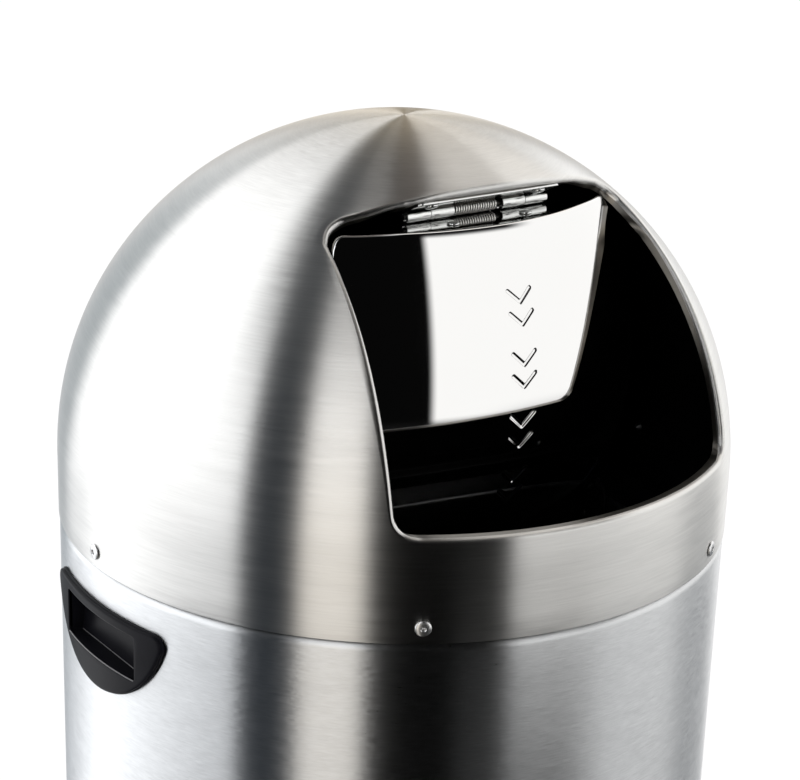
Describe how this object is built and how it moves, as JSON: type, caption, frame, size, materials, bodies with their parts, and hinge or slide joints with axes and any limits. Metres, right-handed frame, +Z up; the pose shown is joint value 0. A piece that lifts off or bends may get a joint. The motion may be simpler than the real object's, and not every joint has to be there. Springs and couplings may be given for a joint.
{
  "type": "dome top waste receptacle",
  "caption": "Free-standing round steel waste bin with a lift-off dome top, a sprung push flap in the dome's opening, side grips and a lift-out bucket liner.",
  "frame": {"origin": "centre of the foot ring's underside, on the floor", "axes": "+Z up along the cylinder's axis, -Y towards the user, through the middle of the push flap, +X to the user's right"},
  "size_m": [0.4068, 0.4034, 0.7543],
  "materials": {
    "brushed_steel": "fine brushing round the axis, satin",
    "polished_steel": "mirror-polished stainless sheet",
    "zinc_steel": "bright zinc",
    "galvanised_steel": "dull galvanised",
    "aluminium": "satin",
    "black_plastic": "satin black, faint grain"
  },
  "bodies": {
    "body": {"body_shell": "brushed_steel", "foot_ring": "black_plastic", "base_plate": "galvanised_steel", "handle_grip_left": "black_plastic", "handle_grip_right": "black_plastic"},
    "dome": {"dome_shell": "brushed_steel", "dome_locating_ring": "galvanised_steel", "dome_rivet_1": "aluminium", "dome_rivet_2": "aluminium", "dome_rivet_3": "aluminium", "dome_rivet_4": "aluminium", "dome_rivet_5": "aluminium", "dome_rivet_6": "aluminium", "hinge_fixed_leaf": "zinc_steel", "hinge_leaf_rivet_1": "zinc_steel", "hinge_leaf_rivet_2": "zinc_steel", "hinge_pin": "zinc_steel", "hinge_spring": "zinc_steel"},
    "flap": {"flap_panel": "polished_steel", "hinge_moving_leaf": "zinc_steel", "flap_rivet_1": "zinc_steel", "flap_rivet_2": "zinc_steel"},
    "liner": {"liner_wall": "galvanised_steel", "liner_floor": "galvanised_steel", "liner_ear_left": "galvanised_steel", "liner_ear_right": "galvanised_steel", "ear_rivet_left_1": "galvanised_steel", "ear_rivet_left_2": "galvanised_steel", "ear_rivet_right_1": "galvanised_steel", "ear_rivet_right_2": "galvanised_steel"},
    "bail": {"liner_bail": "zinc_steel", "bail_grip": "black_plastic"}
  },
  "joints": [
    {"name": "dome_lift", "type": "slide", "parent": "body", "child": "dome", "axis": [0, 0, 1], "range_m": [0, 0.6]},
    {"name": "flap_hinge", "type": "hinge", "parent": "dome", "child": "flap", "pos_m": [0, -0.069, 0.716], "axis": [1, 0, 0], "range_deg": [-33, 25], "stiffness_Nm_per_rad": 0.35, "springref_deg": -108.86, "deforming": ["hinge_spring"]},
    {"name": "liner_lift", "type": "slide", "parent": "body", "child": "liner", "axis": [0, 0, 1], "range_m": [0, 0.545]},
    {"name": "bail_swing", "type": "hinge", "parent": "liner", "child": "bail", "pos_m": [0, 0, 0.4928], "axis": [1, 0, 0], "range_deg": [0, 84]}
  ],
  "couplings": [
    {"joint": "liner_lift", "follows": "dome_lift", "ratio": 0.9}
  ]
}
